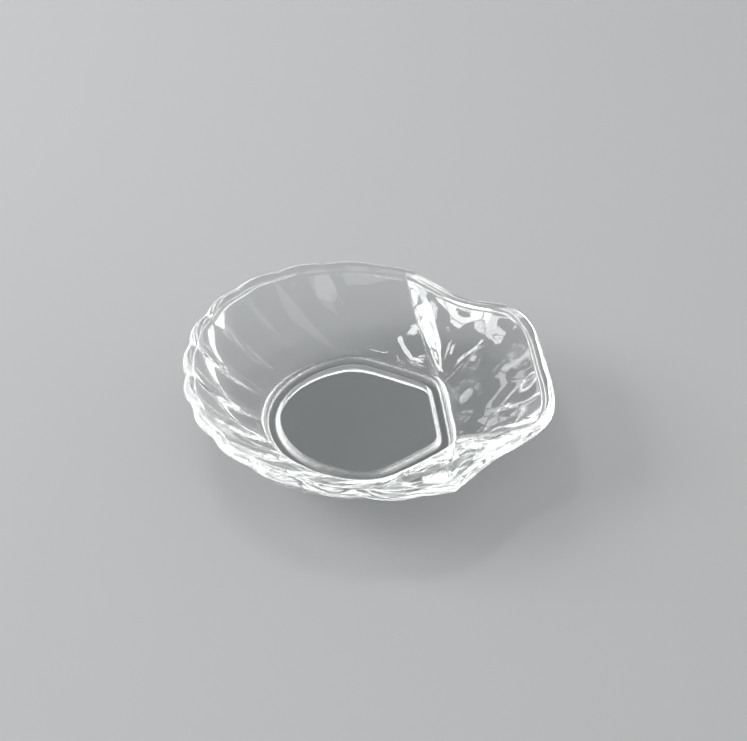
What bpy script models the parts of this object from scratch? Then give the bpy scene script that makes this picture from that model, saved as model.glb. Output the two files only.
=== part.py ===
# Ice cream bowl: one pressing of clear glass in the form of a scallop shell.
# A fluted fan opens towards -X, a smooth ear flares out at the hinge towards +X,
# and the bowl stands at z = 0 on a foot ring with the outline of a shield.

import math

import bmesh
import bpy
from mathutils import Vector
from mathutils.geometry import interpolate_bezier

# Rim, seen from above: half of it, from the middle of the ear to the back of the fan
FAN_BACK = 0.0642
FAN_HALF_WIDTH = 0.0705
FAN_FULLNESS = 2.12
EAR_REACH = 0.0645
EAR_CORNER_REACH = 0.0588
EAR_CORNER_HALF_WIDTH = 0.0350
NECK_REACH = 0.0425
NECK_HALF_WIDTH = 0.0468

# Directions in which the rim runs through the ear's corner, through the neck and into the fold
EAR_CORNER_HEADING = math.radians(125)
NECK_HEADING = math.radians(146)
FOLD_HEADING = math.radians(137)

# Rim heights above the table, how long the fan's rim stays level from the back, and the round-topped edge
BACK_HEIGHT = 0.0310
FOLD_HEIGHT = 0.0256
NECK_HEIGHT = 0.0245
EAR_CORNER_HEIGHT = 0.0266
EAR_HEIGHT = 0.0262
BACK_LEVELNESS = 1.5
RIM_THICKNESS = 0.0040

# Flutes of the fan, counted on each side of the crease at the back, then a plain cheek up to the fold
FLUTES_PER_SIDE = 6
FLUTE_PITCH = math.radians(16.5)
CHEEK_ANGLE = math.radians(10)
OUTER_FLUTE_DEPTH = 0.0013
INNER_FLUTE_DEPTH = 0.0006
FLUTE_RUN_OUT = 3

# Foot ring: a round at the back, two straight sides and a straight front under the ear
FOOT_CENTRE = 0.0013
FOOT_RADIUS = 0.0384
FOOT_FRONT = 0.0293
FOOT_FRONT_HALF_WIDTH = 0.0202
FOOT_SIDE_SLOPE = math.radians(34)
FOOT_RING_WIDTH = 0.0058
FOOT_RING_HEIGHT = 0.0047
FOOT_FLAT_WIDTH = 0.0018
FOOT_CORNER_CRISPNESS = 18

# Floor and wall: a bow is the share of the way out and up to which the middle of a wall is pulled
FLOOR_THICKNESS = 0.0044
FLOOR_OVERHANG = 0.0012
EAR_CORNER_FOOT_SHARE = 0.80
FOLD_FOOT_ANGLE = math.radians(42)
OUTER_FAN_BOW = Vector((0.62, 0.36))
INNER_FAN_BOW = Vector((0.70, 0.33))
EAR_BOW = Vector((0.52, 0.40))
NECK_BOW = Vector((0.38, 0.55))

# Facets, the angle past which an edge stays crisp, and the gap closed where the halves meet
EAR_STEPS = 6
CORNER_STEPS = 8
FLANK_STEPS = 8
CHEEK_STEPS = 3
STEPS_PER_FLUTE = 6
WALL_STEPS = 8
RIM_STEPS = 6
FOOT_ROUND_STEPS = 4
CREASE_ANGLE = math.radians(35)
SEAM_GAP = 0.00001

GLASS_COLOUR = (0.93, 0.95, 0.95, 1.0)
GLASS_ROUGHNESS = 0.03
GLASS_INDEX = 1.52

FLOOR_TOP = FOOT_RING_HEIGHT + FLOOR_THICKNESS
FAN_ANGLE = FLUTES_PER_SIDE * FLUTE_PITCH + CHEEK_ANGLE


class Station:
    """One place on the half rim, with what the wall under it needs to know."""

    def __init__(self, rim, foot_angle, flute_phase, ear_share, neck_share):
        self.rim = rim
        self.foot_angle = foot_angle
        self.flute_phase = flute_phase
        self.ear_share = ear_share
        self.neck_share = neck_share
        self.outward = Vector((0, 0, 0))


def clear_scene():
    for old in list(bpy.data.objects):
        bpy.data.objects.remove(old, do_unlink=True)


def smooth_step(share):
    return share * share * (3 - 2 * share)


def heading_vector(angle):
    return Vector((math.cos(angle), math.sin(angle), 0))


def fan_rim_point(angle):
    """The fan's rim is part of a full ellipse about the origin, and rises towards the back."""
    along = abs(math.cos(angle)) / FAN_BACK
    across = abs(math.sin(angle)) / FAN_HALF_WIDTH
    radius = (along ** FAN_FULLNESS + across ** FAN_FULLNESS) ** (-1 / FAN_FULLNESS)
    share = max(0, math.pi - angle) / FAN_ANGLE
    rise = math.cos(math.pi / 2 * share ** BACK_LEVELNESS)
    height = FOLD_HEIGHT + (BACK_HEIGHT - FOLD_HEIGHT) * rise
    return heading_vector(angle) * radius + Vector((0, 0, height))


def foot_outline(angle, inset):
    """Point of the shield outline at an angle about the foot's centre, moved in by inset."""
    direction = heading_vector(angle)
    side_normal = Vector((math.sin(FOOT_SIDE_SLOPE), math.cos(FOOT_SIDE_SLOPE), 0))
    corner = Vector((FOOT_FRONT - FOOT_CENTRE, FOOT_FRONT_HALF_WIDTH, 0))
    reaches = [FOOT_RADIUS - inset]
    if direction.dot(side_normal) > 0:
        reaches.append((corner.dot(side_normal) - inset) / direction.dot(side_normal))
    if direction.x > 0:
        reaches.append((corner.x - inset) / direction.x)
    nearest = min(reaches)
    crowding = sum((nearest / reach) ** FOOT_CORNER_CRISPNESS for reach in reaches)
    reach = nearest * crowding ** (-1 / FOOT_CORNER_CRISPNESS)
    return Vector((FOOT_CENTRE, 0, 0)) + direction * reach


def rim_curve(start, start_heading, end, end_heading, steps):
    """A smooth run of rim between two points, with the given headings at its ends."""
    pull = (end - start).length / 3
    return interpolate_bezier(
        start, start + start_heading * pull, end - end_heading * pull, end, steps + 1
    )


def fan_angles(fold_angle):
    """Angles of the fan's stations from the fold to the back, each with its place across a flute."""
    angles = [(fold_angle + CHEEK_ANGLE * step / CHEEK_STEPS, 0) for step in range(CHEEK_STEPS)]
    for step in range(FLUTES_PER_SIDE * STEPS_PER_FLUTE + 1):
        angle = fold_angle + CHEEK_ANGLE + FLUTE_PITCH * step / STEPS_PER_FLUTE
        angles.append((angle, step % STEPS_PER_FLUTE / STEPS_PER_FLUTE))
    return angles


def make_stations():
    ear_middle = Vector((EAR_REACH, 0, EAR_HEIGHT))
    ear_corner = Vector((EAR_CORNER_REACH, EAR_CORNER_HALF_WIDTH, EAR_CORNER_HEIGHT))
    neck = Vector((NECK_REACH, NECK_HALF_WIDTH, NECK_HEIGHT))
    fold_angle = math.pi - FAN_ANGLE
    fold = fan_rim_point(fold_angle)
    corner_heading = heading_vector(EAR_CORNER_HEADING)
    neck_heading = heading_vector(NECK_HEADING)

    ear = rim_curve(ear_middle, Vector((0, 1, 0)), ear_corner, corner_heading, EAR_STEPS)
    corner = rim_curve(ear_corner, corner_heading, neck, neck_heading, CORNER_STEPS)
    flank = rim_curve(neck, neck_heading, fold, heading_vector(FOLD_HEADING), FLANK_STEPS)

    foot_corner_angle = math.atan2(FOOT_FRONT_HALF_WIDTH, FOOT_FRONT - FOOT_CENTRE)
    stations = []
    for index, rim in enumerate(ear[:-1]):
        across = EAR_CORNER_FOOT_SHARE * index / EAR_STEPS
        stations.append(Station(rim, math.atan(across * math.tan(foot_corner_angle)), 0, 1, 0))
    for index, rim in enumerate(corner[:-1]):
        share = index / CORNER_STEPS
        across = EAR_CORNER_FOOT_SHARE + (1 - EAR_CORNER_FOOT_SHARE) * share
        foot_angle = math.atan(across * math.tan(foot_corner_angle))
        stations.append(Station(rim, foot_angle, 0, 1, smooth_step(share)))
    for index, rim in enumerate(flank[:-1]):
        share = index / FLANK_STEPS
        foot_angle = foot_corner_angle + (FOLD_FOOT_ANGLE - foot_corner_angle) * share
        fade = 1 - smooth_step(share)
        stations.append(Station(rim, foot_angle, 0, fade, fade))
    for angle, phase in fan_angles(fold_angle):
        share = (angle - fold_angle) / FAN_ANGLE
        foot_angle = FOLD_FOOT_ANGLE + (math.pi - FOLD_FOOT_ANGLE) * share
        stations.append(Station(fan_rim_point(angle), foot_angle, phase, 0, 0))
    stations[-1].rim.y = 0

    for before, station, after in zip(stations, stations[1:], stations[2:]):
        along = after.rim - before.rim
        station.outward = Vector((along.y, -along.x, 0)).normalized()
    stations[0].outward = Vector((1, 0, 0))
    stations[-1].outward = Vector((-1, 0, 0))
    return stations


def wall_point(station, foot, top, fan_bow, flute_depth, share):
    """A point of the wall at a share of the way from the foot to the top of the wall."""
    bow = fan_bow.lerp(EAR_BOW, station.ear_share).lerp(NECK_BOW, station.neck_share)
    blend = 2 * share * (1 - share)
    outwards = blend * bow.x + share * share
    upwards = blend * bow.y + share * share
    point = foot.lerp(top, outwards)
    point.z = foot.z + (top.z - foot.z) * upwards
    swell = flute_depth * math.sin(math.pi * station.flute_phase) * (1 - (1 - share) ** FLUTE_RUN_OUT)
    lean = math.pi / 2 * share
    return point + station.outward * swell * math.sin(lean) - Vector((0, 0, swell * math.cos(lean)))


def section(station):
    """The glass cut through at one station, from the edge of the floor over the rim to the foot."""
    half = RIM_THICKNESS / 2
    outer_top = station.rim - Vector((0, 0, half))
    inner_top = outer_top - station.outward * RIM_THICKNESS
    floor_edge = foot_outline(station.foot_angle, -FLOOR_OVERHANG)
    floor_edge.z = FLOOR_TOP
    foot_top = foot_outline(station.foot_angle, 0)
    foot_top.z = FOOT_RING_HEIGHT

    inner = [
        wall_point(station, floor_edge, inner_top, INNER_FAN_BOW, INNER_FLUTE_DEPTH, step / WALL_STEPS)
        for step in range(WALL_STEPS + 1)
    ]
    outer = [
        wall_point(station, foot_top, outer_top, OUTER_FAN_BOW, OUTER_FLUTE_DEPTH, step / WALL_STEPS)
        for step in range(WALL_STEPS, -1, -1)
    ]
    middle = (inner[-1] + outer[0]) / 2
    sideways = (outer[0] - inner[-1]) / 2
    rim = []
    for step in range(1, RIM_STEPS):
        turn = math.pi * step / RIM_STEPS
        rim.append(middle - sideways * math.cos(turn) + Vector((0, 0, half * math.sin(turn))))

    foot = []
    round_width = (FOOT_RING_WIDTH - FOOT_FLAT_WIDTH) / 2
    for step in range(1, FOOT_ROUND_STEPS + 1):
        turn = math.pi / 2 * step / FOOT_ROUND_STEPS
        inset = round_width * (1 - math.cos(turn))
        height = FOOT_RING_HEIGHT * (1 - math.sin(turn))
        foot.append(foot_outline(station.foot_angle, inset) + Vector((0, 0, height)))
    for step in range(FOOT_ROUND_STEPS, -1, -1):
        turn = math.pi / 2 * step / FOOT_ROUND_STEPS
        inset = FOOT_RING_WIDTH - round_width * (1 - math.cos(turn))
        height = FOOT_RING_HEIGHT * (1 - math.sin(turn))
        foot.append(foot_outline(station.foot_angle, inset) + Vector((0, 0, height)))
    return inner + rim + outer + foot


def loft_half(mesh_name):
    """Half of the bowl: the sections joined to each other, with the floor closed above and below."""
    shape = bmesh.new()
    rows = [[shape.verts.new(point) for point in section(station)] for station in make_stations()]
    floor_middle = shape.verts.new((FOOT_CENTRE, 0, FLOOR_TOP))
    underside_middle = shape.verts.new((FOOT_CENTRE, 0, FOOT_RING_HEIGHT))
    for row, following in zip(rows, rows[1:]):
        for lower, upper in zip(range(len(row)), range(1, len(row))):
            shape.faces.new((row[lower], row[upper], following[upper], following[lower]))
        shape.faces.new((floor_middle, row[0], following[0]))
        shape.faces.new((underside_middle, following[-1], row[-1]))
    mesh = bpy.data.meshes.new(mesh_name)
    shape.to_mesh(mesh)
    shape.free()
    return mesh


def glass_material():
    material = bpy.data.materials.new("clear_glass")
    material.use_nodes = True
    shader = material.node_tree.nodes["Principled BSDF"]
    shader.inputs["Base Color"].default_value = GLASS_COLOUR
    shader.inputs["Metallic"].default_value = 0.0
    shader.inputs["Roughness"].default_value = GLASS_ROUGHNESS
    shader.inputs["IOR"].default_value = GLASS_INDEX
    shader.inputs["Transmission Weight"].default_value = 1.0
    return material


def make_bowl():
    mesh = loft_half("glass_bowl")
    mesh.materials.append(glass_material())
    mesh.shade_smooth()
    mesh.set_sharp_from_angle(angle=CREASE_ANGLE)
    bowl = bpy.data.objects.new("glass_bowl", mesh)
    bpy.context.scene.collection.objects.link(bowl)
    other_half = bowl.modifiers.new("other half", "MIRROR")
    other_half.use_axis = (False, True, False)
    other_half.use_mirror_merge = True
    other_half.merge_threshold = SEAM_GAP
    return bowl


clear_scene()
make_bowl()
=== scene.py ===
import math

import bmesh
import bpy
from mathutils import Matrix, Vector
from mathutils.geometry import interpolate_bezier


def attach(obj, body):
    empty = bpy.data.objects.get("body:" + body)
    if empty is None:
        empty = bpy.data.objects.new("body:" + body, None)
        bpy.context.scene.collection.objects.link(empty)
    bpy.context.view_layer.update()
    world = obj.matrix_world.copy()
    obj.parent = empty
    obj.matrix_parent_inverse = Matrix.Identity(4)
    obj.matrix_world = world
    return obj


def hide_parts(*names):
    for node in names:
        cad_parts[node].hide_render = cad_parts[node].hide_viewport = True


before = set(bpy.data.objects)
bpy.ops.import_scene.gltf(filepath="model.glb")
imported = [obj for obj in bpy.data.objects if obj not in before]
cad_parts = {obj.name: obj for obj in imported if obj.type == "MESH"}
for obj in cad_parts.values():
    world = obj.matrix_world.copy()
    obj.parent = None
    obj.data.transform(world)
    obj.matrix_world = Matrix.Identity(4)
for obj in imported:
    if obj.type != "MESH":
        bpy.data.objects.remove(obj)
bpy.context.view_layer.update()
print("frame loaded:", ", ".join(sorted(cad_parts)))


# the path round the rim, as the pressed bowl has it: metres and degrees

rimPath = {
    "fanBack": 0.06418, "fanHalfWidth": 0.07048, "fanFullness": 2.12,
    "earReach": 0.06447,
    "earCorner": (0.0588, 0.0350), "earCornerHeading": 125,
    "neck": (0.0425, 0.0468), "neckHeading": 146, "foldHeading": 137,
    "backHeight": 0.0310, "backLevelness": 1.5, "foldHeight": 0.0256, "neckHeight": 0.0245,
    "earCornerHeight": 0.0266, "earHeight": 0.0262,
    "flutesPerSide": 6, "flutePitch": 16.5, "cheek": 10, "creaseSoftness": 0.14,
    "earSteps": 30, "cornerSteps": 34, "flankSteps": 34, "cheekSteps": 12, "stepsPerFlute": 26,
}

footPath = {
    "centre": 0.0013, "radius": 0.0384,
    "front": 0.0293, "frontHalfWidth": 0.0202, "sideSlope": 34,
    "ringWidth": 0.0058, "flatWidth": 0.0018, "floorOverhang": 0.0012,
    "cornerCrispness": 18, "earCornerShare": 0.80, "foldAngle": 42,
}


def smoothStep(share):
    return share * share * (3 - 2 * share)


def heading(angle):
    return Vector((math.cos(angle), math.sin(angle), 0))


def fanAngle():
    return math.radians(rimPath["flutesPerSide"] * rimPath["flutePitch"] + rimPath["cheek"])


def fanRim(angle):
    p = rimPath
    full = p["fanFullness"]
    along, across = abs(math.cos(angle)) / p["fanBack"], abs(math.sin(angle)) / p["fanHalfWidth"]
    reach = (along ** full + across ** full) ** (-1 / full)
    share = max(0, math.pi - angle) / fanAngle()
    rise = math.cos(math.pi / 2 * share ** p["backLevelness"])      # climbs from the fold to the back
    height = p["foldHeight"] + (p["backHeight"] - p["foldHeight"]) * rise
    return heading(angle) * reach + Vector((0, 0, height))


def rimRun(start, startHeading, end, endHeading, steps):
    pull = (end - start).length / 3                               # handles reach a third of the way
    return interpolate_bezier(start, start + startHeading * pull, end - endHeading * pull, end, steps + 1)


def footOutline(angle, inset):
    p = footPath
    direction = heading(angle)
    slope = math.radians(p["sideSlope"])
    sideNormal = Vector((math.sin(slope), math.cos(slope), 0))
    corner = Vector((p["front"] - p["centre"], p["frontHalfWidth"], 0))
    nearness = [1 / (p["radius"] - inset)]                        # round, side and front, nearest wins
    nearness.append(max(0, direction.dot(sideNormal)) / (corner.dot(sideNormal) - inset))
    nearness.append(max(0, direction.x) / (corner.x - inset))
    power = p["cornerCrispness"]
    most = max(nearness)
    rounded = most * sum((near / most) ** power for near in nearness) ** (1 / power)
    return Vector((p["centre"], 0, 0)) + direction / rounded


def fluteSwell(phase):
    soft = rimPath["creaseSoftness"]
    return (math.hypot(math.sin(math.pi * phase), soft) - soft) / (math.hypot(1, soft) - soft)


def fanStations():
    p = rimPath
    start, cheek, pitch = math.pi - fanAngle(), math.radians(p["cheek"]), math.radians(p["flutePitch"])
    for step in range(p["cheekSteps"]):
        yield start + cheek * step / p["cheekSteps"], 0
    for step in range(p["flutesPerSide"] * p["stepsPerFlute"] + 1):
        count = step / p["stepsPerFlute"]
        yield start + cheek + pitch * count, fluteSwell(count % 1)


def halfRim():
    p, f = rimPath, footPath
    earMiddle = Vector((p["earReach"], 0, p["earHeight"]))
    earCorner = Vector((*p["earCorner"], p["earCornerHeight"]))
    neck = Vector((*p["neck"], p["neckHeight"]))
    foldAngle = math.pi - fanAngle()
    cornerHeading = heading(math.radians(p["earCornerHeading"]))
    neckHeading = heading(math.radians(p["neckHeading"]))
    foldHeading = heading(math.radians(p["foldHeading"]))
    ear = rimRun(earMiddle, Vector((0, 1, 0)), earCorner, cornerHeading, p["earSteps"])
    corner = rimRun(earCorner, cornerHeading, neck, neckHeading, p["cornerSteps"])
    flank = rimRun(neck, neckHeading, fanRim(foldAngle), foldHeading, p["flankSteps"])

    footCorner = math.atan2(f["frontHalfWidth"], f["front"] - f["centre"])
    footFold = math.radians(f["foldAngle"])
    stations = []                       # rim point, angle at the foot, swell, ear and neck shares
    for step, point in enumerate(ear[:-1]):
        across = f["earCornerShare"] * step / p["earSteps"]
        stations.append((point, math.atan(across * math.tan(footCorner)), 0, 1, 0))
    for step, point in enumerate(corner[:-1]):
        share = step / p["cornerSteps"]
        across = f["earCornerShare"] + (1 - f["earCornerShare"]) * share
        stations.append((point, math.atan(across * math.tan(footCorner)), 0, 1, smoothStep(share)))
    for step, point in enumerate(flank[:-1]):
        share = step / p["flankSteps"]
        fade = 1 - smoothStep(share)
        stations.append((point, footCorner + (footFold - footCorner) * share, 0, fade, fade))
    for angle, swell in fanStations():
        share = (angle - foldAngle) / fanAngle()
        stations.append((fanRim(angle), footFold + (math.pi - footFold) * share, swell, 0, 0))
    return stations


def makeRimPath():
    half = halfRim()
    half[-1][0].y = 0                                  # the last station lies on the middle line
    loop = [(*station, 1) for station in half] + [(*station, -1) for station in half[-2:0:-1]]
    points = [Vector((rim.x, side * rim.y, rim.z)) for rim, angle, swell, ear, neck, side in loop]
    mesh = bpy.data.meshes.new("rimPath")
    mesh.from_pydata(points, [(i, (i + 1) % len(points)) for i in range(len(points))], [])
    columns = {"outward": [], "floorEdge": [], "footOuter": [], "footInner": [],
               "swell": [], "earShare": [], "neckShare": []}
    for i, (rim, angle, swell, ear, neck, side) in enumerate(loop):
        along = points[(i + 1) % len(points)] - points[i - 1]
        columns["outward"].append(Vector((along.y, -along.x, 0)).normalized())
        for name, inset in (("floorEdge", -footPath["floorOverhang"]), ("footOuter", 0),
                            ("footInner", footPath["ringWidth"])):
            edge = footOutline(angle, inset)
            columns[name].append(Vector((edge.x, side * edge.y, 0)))
        columns["swell"].append(swell)
        columns["earShare"].append(ear)
        columns["neckShare"].append(neck)
    for name, values in columns.items():
        if isinstance(values[0], Vector):
            layer = mesh.attributes.new(name, "FLOAT_VECTOR", "POINT")
            layer.data.foreach_set("vector", [c for v in values for c in v])
        else:
            layer = mesh.attributes.new(name, "FLOAT", "POINT")
            layer.data.foreach_set("value", values)
    path = bpy.data.objects.new("glassShell", mesh)
    bpy.context.scene.collection.objects.link(path)
    print("rim path:", len(points), "stations")
    return path


# the glass, lofted round that path by a node tree

shell = {
    "rim thickness": 0.0040,
    "floor height": 0.0091,
    "ring height": 0.0047,
    "ring round share": (1 - footPath["flatWidth"] / footPath["ringWidth"]) / 2,
    "outer flute depth": 0.0013,
    "inner flute depth": 0.0006,
    "foot centre": (footPath["centre"], 0, 0),
    "outer fan bow": (0.62, 0.36, 0),
    "inner fan bow": (0.70, 0.33, 0),
    "ear bow": (0.52, 0.40, 0),
    "neck bow": (0.38, 0.55, 0),
    "flute run out": 3.0,
    "matt ring inside": 1.0,                           # 0 is polished, 1 has the full matt roughness
    "matt ring outside": 0.45,
    "matt foot share": 0.10,                           # the wall is still matt just above the foot ring
    "matt rim": 0.165,
    "wave scale": 72.0,                                # slow waves left by the mould, deepest in the ear
    "wave detail": 0.3,
    "wave height": 0.0026,
    "wave edge": 0.5,                                  # under 1, they stay high until near foot and rim
    "wave share fan": 0.18,
    "outer wave shift": (0.3, 0.1, 0.2),               # so that the two faces ripple apart
    "wave fan end": -0.01,                             # between these two they grow to full height
    "wave ear end": 0.03,
}
shellSteps = {"wall": 30, "rim": 14, "ringSide": 12, "ringFlat": 4, "floor": 14, "floorCrowding": 3}
shellGaps = {"merge": 0.000004, "sliver": 0.000001}    # metres
mlPerCubicMetre = 1000000


class LoftTree:
    def __init__(self, name):
        self.tree = bpy.data.node_groups.new(name, "GeometryNodeTree")
        face = self.tree.interface
        face.new_socket("Path", in_out="INPUT", socket_type="NodeSocketGeometry")
        self.sockets = {}
        for label, value in shell.items():
            kind = "NodeSocketVector" if isinstance(value, tuple) else "NodeSocketFloat"
            self.sockets[label] = face.new_socket(label, in_out="INPUT", socket_type=kind)
        self.sockets["glass"] = face.new_socket("glass", in_out="INPUT", socket_type="NodeSocketMaterial")
        face.new_socket("Shell", in_out="OUTPUT", socket_type="NodeSocketGeometry")
        self.given = self.node("NodeGroupInput").outputs

    def node(self, kind, *values, **settings):
        made = self.tree.nodes.new(kind)
        for name, value in settings.items():
            setattr(made, name, value)
        for socket, value in zip([s for s in made.inputs if s.enabled], values):
            self.plug(socket, value)
        return made

    def plug(self, socket, value):
        if isinstance(value, bpy.types.NodeSocket):
            self.tree.links.new(value, socket)
        elif value is not None:
            socket.default_value = value

    def calc(self, operation, *values):
        return self.node("ShaderNodeMath", *values, operation=operation).outputs[0]

    def vec(self, operation, *values):
        return self.node("ShaderNodeVectorMath", *values, operation=operation).outputs[0]

    def scale(self, vector, amount):
        made = self.node("ShaderNodeVectorMath", operation="SCALE")
        self.plug(made.inputs[0], vector)
        self.plug(made.inputs["Scale"], amount)
        return made.outputs[0]

    def between(self, start, end, share):
        return self.vec("ADD", start, self.scale(self.vec("SUBTRACT", end, start), share))

    def lift(self, height):
        return self.node("ShaderNodeCombineXYZ", 0.0, 0.0, height).outputs[0]

    def part(self, vector, axis):
        return self.node("ShaderNodeSeparateXYZ", vector).outputs[axis]


class Sheet:
    # a grid whose columns follow the path's stations; its rows run over one stretch of the section
    def __init__(self, loft, rows):
        self.loft = loft
        count = loft.node("GeometryNodeAttributeDomainSize", loft.given["Path"]).outputs["Point Count"]
        self.grid = loft.node("GeometryNodeMeshGrid", 1.0, 1.0, loft.calc("ADD", count, 1), rows + 1)
        index = loft.node("GeometryNodeInputIndex").outputs[0]
        column = loft.calc("FLOOR", loft.calc("DIVIDE", index, rows + 1))
        self.station = loft.calc("FLOORED_MODULO", column, count)
        self.share = loft.calc("DIVIDE", loft.calc("FLOORED_MODULO", index, rows + 1), rows)

    def sample(self, kind, value):
        made = self.loft.node("GeometryNodeSampleIndex", data_type=kind)
        self.loft.plug(made.inputs["Geometry"], self.loft.given["Path"])
        self.loft.plug(made.inputs["Index"], self.station)
        self.loft.plug(next(s for s in made.inputs if s.enabled and s.name == "Value"), value)
        return next(s for s in made.outputs if s.enabled)

    def named(self, name, kind="FLOAT_VECTOR"):
        made = self.loft.node("GeometryNodeInputNamedAttribute", name, data_type=kind)
        return self.sample(kind, next(s for s in made.outputs if s.enabled))

    def rim(self):
        return self.sample("FLOAT_VECTOR", self.loft.node("GeometryNodeInputPosition").outputs[0])

    def place(self, position, matt=0.0):
        made = self.loft.node("GeometryNodeSetPosition", self.grid.outputs["Mesh"])
        self.loft.plug(made.inputs["Position"], position)
        kept = self.loft.node("GeometryNodeStoreNamedAttribute", data_type="FLOAT", domain="POINT")
        self.loft.plug(kept.inputs["Geometry"], made.outputs[0])
        self.loft.plug(kept.inputs["Name"], "matt")
        self.loft.plug(next(s for s in kept.inputs if s.enabled and s.name == "Value"), matt)
        return kept.outputs[0]


def mouldWave(loft, point, shift, share, rest):
    # dies out at the foot and at the rim, so the sheets still meet
    wave = loft.node("ShaderNodeTexNoise")
    loft.plug(wave.inputs["Vector"], loft.vec("ADD", point, shift))
    loft.plug(wave.inputs["Scale"], loft.given["wave scale"])
    loft.plug(wave.inputs["Detail"], loft.given["wave detail"])
    ends = loft.node("ShaderNodeMapRange", loft.part(point, "X"), loft.given["wave fan end"],
                     loft.given["wave ear end"], loft.given["wave share fan"], 1.0).outputs[0]
    middle = loft.calc("MULTIPLY", loft.calc("MULTIPLY", share, rest), 4)           # 1 halfway up
    middle = loft.calc("POWER", middle, loft.given["wave edge"])
    swing = loft.calc("SUBTRACT", wave.outputs["Fac"], 0.5)                         # out and in
    height = loft.calc("MULTIPLY", swing, loft.given["wave height"])
    return loft.calc("MULTIPLY", loft.calc("MULTIPLY", height, ends), middle)


def wallPoint(loft, sheet, foot, top, fanBow, depth, waveShift, share):
    bow = loft.between(fanBow, loft.given["ear bow"], sheet.named("earShare", "FLOAT"))
    bow = loft.between(bow, loft.given["neck bow"], sheet.named("neckShare", "FLOAT"))
    rest = loft.calc("SUBTRACT", 1, share)
    blend = loft.calc("MULTIPLY", loft.calc("MULTIPLY", share, rest), 2)            # weight of the bow
    square = loft.calc("MULTIPLY", share, share)
    outwards = loft.calc("ADD", loft.calc("MULTIPLY", blend, loft.part(bow, "X")), square)
    upwards = loft.calc("ADD", loft.calc("MULTIPLY", blend, loft.part(bow, "Y")), square)
    point = loft.between(foot, top, outwards)
    climb = loft.calc("SUBTRACT", loft.part(top, "Z"), loft.part(foot, "Z"))
    point = loft.vec("ADD", point, loft.lift(
        loft.calc("MULTIPLY", climb, loft.calc("SUBTRACT", upwards, outwards))))
    fade = loft.calc("SUBTRACT", 1, loft.calc("POWER", rest, loft.given["flute run out"]))
    swell = loft.calc("MULTIPLY", loft.calc("MULTIPLY", sheet.named("swell", "FLOAT"), depth), fade)
    swell = loft.calc("ADD", swell, mouldWave(loft, point, waveShift, share, rest))
    lean = loft.calc("MULTIPLY", share, math.pi / 2)
    point = loft.vec("ADD", point, loft.scale(
        sheet.named("outward"), loft.calc("MULTIPLY", swell, loft.calc("SINE", lean))))
    drop = loft.calc("MULTIPLY", swell, loft.calc("COSINE", lean))
    return loft.vec("SUBTRACT", point, loft.lift(drop))


def wallTops(loft, sheet):
    half = loft.calc("MULTIPLY", loft.given["rim thickness"], 0.5)
    outer = loft.vec("SUBTRACT", sheet.rim(), loft.lift(half))
    inner = loft.vec("SUBTRACT", outer, loft.scale(sheet.named("outward"), loft.given["rim thickness"]))
    return inner, outer


def fluted(loft, sheet, top, depth):
    swell = loft.calc("MULTIPLY", sheet.named("swell", "FLOAT"), loft.given[depth])
    return loft.vec("ADD", top, loft.scale(sheet.named("outward"), swell))


def wallFeet(loft, sheet):
    inner = loft.vec("ADD", sheet.named("floorEdge"), loft.lift(loft.given["floor height"]))
    outer = loft.vec("ADD", sheet.named("footOuter"), loft.lift(loft.given["ring height"]))
    return inner, outer


def innerWall(loft):
    sheet = Sheet(loft, shellSteps["wall"])
    return sheet.place(wallPoint(loft, sheet, wallFeet(loft, sheet)[0], wallTops(loft, sheet)[0],
                                 loft.given["inner fan bow"], loft.given["inner flute depth"],
                                 (0, 0, 0), sheet.share))


def outerWall(loft):
    sheet = Sheet(loft, shellSteps["wall"])
    share = loft.calc("SUBTRACT", 1, sheet.share)                    # runs down, from the rim
    point = wallPoint(loft, sheet, wallFeet(loft, sheet)[1], wallTops(loft, sheet)[1],
                      loft.given["outer fan bow"], loft.given["outer flute depth"],
                      loft.given["outer wave shift"], share)
    matt = loft.node("ShaderNodeMapRange", share, 0.0, loft.given["matt foot share"],
                     loft.given["matt ring outside"], 0.0).outputs[0]
    return sheet.place(point, matt)


def rimEdge(loft):
    sheet = Sheet(loft, shellSteps["rim"])
    innerTop, outerTop = wallTops(loft, sheet)
    inner = fluted(loft, sheet, innerTop, "inner flute depth")
    outer = fluted(loft, sheet, outerTop, "outer flute depth")
    turn = loft.calc("MULTIPLY", sheet.share, math.pi)
    across = loft.calc("SUBTRACT", 0.5, loft.calc("MULTIPLY", loft.calc("COSINE", turn), 0.5))
    half = loft.calc("MULTIPLY", loft.given["rim thickness"], 0.5)
    height = loft.calc("MULTIPLY", loft.calc("SINE", turn), half)
    return sheet.place(loft.vec("ADD", loft.between(inner, outer, across), loft.lift(height)),
                       loft.given["matt rim"])


def ringRound(loft, near, far, matt):
    # one rounded side of the foot ring, from the edge named near down to the flat it stands on
    sheet = Sheet(loft, shellSteps["ringSide"])
    turn = loft.calc("MULTIPLY", sheet.share, math.pi / 2)
    inset = loft.calc("MULTIPLY", loft.given["ring round share"],
                      loft.calc("SUBTRACT", 1, loft.calc("COSINE", turn)))
    height = loft.calc("MULTIPLY", loft.given["ring height"],
                       loft.calc("SUBTRACT", 1, loft.calc("SINE", turn)))
    point = loft.between(sheet.named(near), sheet.named(far), inset)
    return sheet.place(loft.vec("ADD", point, loft.lift(height)), loft.given[matt])


def ringFlat(loft):
    sheet = Sheet(loft, shellSteps["ringFlat"])
    span = loft.calc("SUBTRACT", 1, loft.calc("MULTIPLY", loft.given["ring round share"], 2))
    share = loft.calc("ADD", loft.given["ring round share"], loft.calc("MULTIPLY", sheet.share, span))
    return sheet.place(loft.between(sheet.named("footOuter"), sheet.named("footInner"), share))


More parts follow.
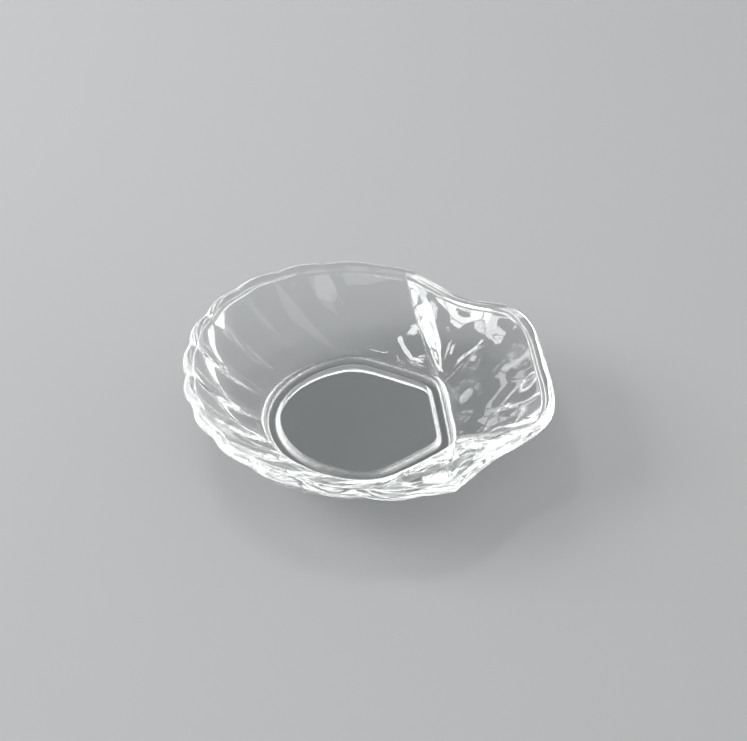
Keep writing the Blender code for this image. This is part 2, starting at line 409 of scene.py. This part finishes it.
def disc(loft, name, height):
    sheet = Sheet(loft, shellSteps["floor"])
    crowded = loft.calc("POWER", sheet.share, shellSteps["floorCrowding"])      # rows crowd at the edge
    point = loft.between(sheet.named(name), loft.given["foot centre"], crowded)
    return sheet.place(loft.vec("ADD", point, loft.lift(loft.given[height])))


def makeShellTree():
    loft = LoftTree("shellLoft")
    sheets = [
        innerWall(loft), rimEdge(loft), outerWall(loft),
        ringRound(loft, "footOuter", "footInner", "matt ring outside"), ringFlat(loft),
        ringRound(loft, "footInner", "footOuter", "matt ring inside"),
        disc(loft, "floorEdge", "floor height"), disc(loft, "footInner", "ring height"),
    ]
    joined = loft.node("GeometryNodeJoinGeometry")
    for sheet in sheets:
        loft.tree.links.new(sheet, joined.inputs[0])
    merged = loft.node("GeometryNodeMergeByDistance", joined.outputs[0])
    merged.inputs["Distance"].default_value = shellGaps["merge"]
    smooth = loft.node("GeometryNodeSetShadeSmooth", merged.outputs[0])
    real = loft.node("GeometryNodeRealizeInstances", smooth.outputs[0])
    coated = loft.node("GeometryNodeSetMaterial", real.outputs[0])
    loft.plug(coated.inputs["Material"], loft.given["glass"])
    loft.node("NodeGroupOutput", coated.outputs[0])
    return loft


def makeShell(glass):
    path = makeRimPath()
    loft = makeShellTree()
    modifier = path.modifiers.new("loft", "NODES")
    modifier.node_group = loft.tree
    for label, value in shell.items():
        modifier[loft.sockets[label].identifier] = value
    modifier[loft.sockets["glass"].identifier] = glass
    graph = bpy.context.evaluated_depsgraph_get()
    mesh = bpy.data.meshes.new_from_object(path.evaluated_get(graph))
    path.modifiers.remove(modifier)
    path.data = mesh
    work = bmesh.new()
    work.from_mesh(mesh)
    bmesh.ops.dissolve_degenerate(work, dist=shellGaps["sliver"], edges=work.edges)
    bmesh.ops.recalc_face_normals(work, faces=work.faces)
    openEdges = sum(1 for edge in work.edges if not edge.is_manifold)
    volume = work.calc_volume(signed=True)
    work.to_mesh(mesh)
    work.free()
    print("glass shell:", len(mesh.polygons), "faces,", openEdges, "open edges,",
          round(volume * mlPerCubicMetre, 1), "ml of glass")
    return path


# clear pressed glass

glassLook = {
    "tint": (0.84, 0.855, 0.852, 1), "paleTint": (0.87, 0.88, 0.878, 1),
    "index": 1.52,
    "skin": 420, "skinDetail": 2, "skinStrength": 0.04, "skinHeight": 0.0005,      # fire-polished skin
    "smear": 90, "smearDetail": 4, "smearRange": (0.35, 0.75), "roughness": (0.012, 0.05),
    "mattRoughness": 0.52,                                        # where the matt attribute is 1
    "shade": (0.70, 0.71, 0.71, 1),                               # what the shadow lets through
    "bounces": 32,                                                # light runs far inside the rim
}


def makeGlass():
    p = glassLook
    material = bpy.data.materials.new("clearGlass")
    material.use_nodes = True
    nodes, links = material.node_tree.nodes, material.node_tree.links
    surface = nodes["Principled BSDF"]
    surface.inputs["Transmission Weight"].default_value = 1.0
    surface.inputs["IOR"].default_value = p["index"]
    place = nodes.new("ShaderNodeTexCoord")

    def noise(scale, detail):
        made = nodes.new("ShaderNodeTexNoise")
        made.inputs["Scale"].default_value = scale
        made.inputs["Detail"].default_value = detail
        links.new(place.outputs["Object"], made.inputs["Vector"])
        return made.outputs["Fac"]

    smear = noise(p["smear"], p["smearDetail"])
    tint = nodes.new("ShaderNodeValToRGB")
    tint.color_ramp.elements[0].color = p["tint"]
    tint.color_ramp.elements[1].color = p["paleTint"]
    links.new(smear, tint.inputs["Fac"])
    links.new(tint.outputs["Color"], surface.inputs["Base Color"])

    polish = nodes.new("ShaderNodeMapRange")
    polish.inputs["From Min"].default_value, polish.inputs["From Max"].default_value = p["smearRange"]
    polish.inputs["To Min"].default_value, polish.inputs["To Max"].default_value = p["roughness"]
    links.new(smear, polish.inputs["Value"])
    matt = nodes.new("ShaderNodeAttribute")
    matt.attribute_name = "matt"
    finish = nodes.new("ShaderNodeMix")                           # its sockets 0, 2 and 3 are the floats
    links.new(matt.outputs["Fac"], finish.inputs[0])
    links.new(polish.outputs["Result"], finish.inputs[2])
    finish.inputs[3].default_value = p["mattRoughness"]
    links.new(finish.outputs[0], surface.inputs["Roughness"])

    skin = nodes.new("ShaderNodeBump")
    skin.inputs["Strength"].default_value = p["skinStrength"]
    skin.inputs["Distance"].default_value = p["skinHeight"]
    links.new(noise(p["skin"], p["skinDetail"]), skin.inputs["Height"])
    links.new(skin.outputs["Normal"], surface.inputs["Normal"])

    shade = nodes.new("ShaderNodeBsdfTransparent")                 # lamps shine through to the floor
    shade.inputs["Color"].default_value = p["shade"]
    rays = nodes.new("ShaderNodeLightPath")
    look = surface.outputs["BSDF"]
    for kind in ("Is Diffuse Ray", "Is Shadow Ray"):
        passing = nodes.new("ShaderNodeMixShader")
        links.new(rays.outputs[kind], passing.inputs["Fac"])
        links.new(look, passing.inputs[1])
        links.new(shade.outputs["BSDF"], passing.inputs[2])
        look = passing.outputs["Shader"]
    links.new(look, nodes["Material Output"].inputs["Surface"])
    print("glass look:", len(nodes), "nodes")
    return material


# floor, light and camera

floorLook = {"size": 2.4, "colour": (0.50, 0.505, 0.51, 1), "roughness": 0.9, "gloss": 0.1}
worldLook = {
    "colour": (0.97, 0.985, 1.0, 1),
    "glow": (0.95, 0.18), "rise": (0.10, 0.45),         # bright at the horizon, dim above
}
lamps = [
    {"name": "leftBox", "at": (-1.88, 0.36, 1.11), "size": (1.60, 0.86), "power": 40, "panes": (2, 2)},
    {"name": "topBox", "at": (-0.325, 0.401, 1.083), "size": (0.36, 0.28), "power": 2.8, "panes": (2, 1)},
    {"name": "earBox", "at": (-0.50, 1.06, 0.50), "size": (0.26, 0.13), "power": 0.25, "panes": (2, 1)},
    {"name": "frontBox", "at": (0.05, -0.62, 1.14), "size": (0.90, 0.60), "power": 1.7, "panes": (1, 1)},
]
paneShare = 0.86                                        # the rest is dark bars between a lamp's panes
lowStrips = {                                           # a low curve of strips, for white edges
    "distance": 3.0, "height": 0.28, "size": (1.5, 0.5),
    "power": {-30: 20, 0: 22, 30: 19, 60: 15, 90: 15, 120: 20, 150: 24},        # by degrees from the ear
}
view = {
    "target": (0.00593, 0.0372, 0), "distance": 0.8533,
    "elevation": 35.7, "turn": 5.76,
    "focal": 2280, "frameWidth": 747,                   # both in pixels
    "sensor": 36, "nearest": 0.01,
}


def makeFloor():
    size = floorLook["size"] / 2
    mesh = bpy.data.meshes.new("floor")
    corners = [(-size, -size, 0), (size, -size, 0), (size, size, 0), (-size, size, 0)]
    mesh.from_pydata(corners, [], [(0, 1, 2, 3)])
    floor = bpy.data.objects.new("floor", mesh)
    bpy.context.scene.collection.objects.link(floor)
    paint = bpy.data.materials.new("paleFloor")
    paint.use_nodes = True
    surface = paint.node_tree.nodes["Principled BSDF"]
    surface.inputs["Base Color"].default_value = floorLook["colour"]
    surface.inputs["Roughness"].default_value = floorLook["roughness"]
    surface.inputs["Specular IOR Level"].default_value = floorLook["gloss"]
    mesh.materials.append(paint)
    print("floor:", floorLook["size"], "m square")


def makeLamp(name, place, size, power, turn):
    data = bpy.data.lights.new(name, "AREA")
    data.shape = "RECTANGLE"
    data.size, data.size_y = size
    data.energy = power
    lamp = bpy.data.objects.new(name, data)
    lamp.location = place
    lamp.rotation_euler = turn.to_euler()
    lamp.visible_camera = False
    bpy.context.scene.collection.objects.link(lamp)


def makeBank(lamp):
    # one soft lamp, or several panes of it with dark bars between
    centre = Vector(lamp["at"])
    turn = centre.to_track_quat("Z", "Y")
    across, up = lamp["panes"]
    width, height = lamp["size"][0] / across, lamp["size"][1] / up
    for i in range(across * up):
        shift = Vector(((i % across - (across - 1) / 2) * width, (i // across - (up - 1) / 2) * height, 0))
        shift.rotate(turn)
        makeLamp(lamp["name"] + str(i), centre + shift, (width * paneShare, height * paneShare),
                 lamp["power"] / (across * up), turn)


def makeLight():
    world = bpy.data.worlds.new("studio")
    world.use_nodes = True
    back = world.node_tree.nodes["Background"]
    back.inputs["Color"].default_value = worldLook["colour"]
    nodes, links = world.node_tree.nodes, world.node_tree.links
    place = nodes.new("ShaderNodeTexCoord")
    split = nodes.new("ShaderNodeSeparateXYZ")
    links.new(place.outputs["Generated"], split.inputs[0])
    ramp = nodes.new("ShaderNodeMapRange")
    ramp.interpolation_type = "SMOOTHSTEP"
    ramp.inputs["From Min"].default_value, ramp.inputs["From Max"].default_value = worldLook["rise"]
    ramp.inputs["To Min"].default_value, ramp.inputs["To Max"].default_value = worldLook["glow"]
    links.new(split.outputs["Z"], ramp.inputs["Value"])
    links.new(ramp.outputs["Result"], back.inputs["Strength"])
    bpy.context.scene.world = world
    for lamp in lamps:
        makeBank(lamp)
    for turn, power in lowStrips["power"].items():
        place = heading(math.radians(turn)) * lowStrips["distance"] + Vector((0, 0, lowStrips["height"]))
        makeLamp("lowStrip" + str(turn), place, lowStrips["size"], power, place.to_track_quat("Z", "Y"))
    print("light:", len(bpy.data.lights), "soft panes")


def makeCamera():
    elevation, turn = math.radians(view["elevation"]), math.radians(view["turn"])
    away = Vector((0, -math.cos(elevation), math.sin(elevation))) * view["distance"]
    away.rotate(Matrix.Rotation(-turn, 3, "Z"))
    data = bpy.data.cameras.new("camera")
    data.sensor_width = view["sensor"]
    data.lens = view["sensor"] * view["focal"] / view["frameWidth"]
    data.clip_start = view["nearest"]
    camera = bpy.data.objects.new("camera", data)
    camera.location = Vector(view["target"]) + away
    camera.rotation_euler = away.to_track_quat("Z", "Y").to_euler()
    bpy.context.scene.collection.objects.link(camera)
    bpy.context.scene.camera = camera
    print("camera:", round(data.lens), "mm lens")


bowl = makeShell(makeGlass())
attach(bowl, "root")
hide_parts("glass_bowl")
makeFloor()
makeLight()
makeCamera()
bpy.context.scene.view_settings.view_transform = "Standard"
for kind in ("max_bounces", "glossy_bounces", "transmission_bounces"):
    setattr(bpy.context.scene.cycles, kind, glassLook["bounces"])

print("scene ready")
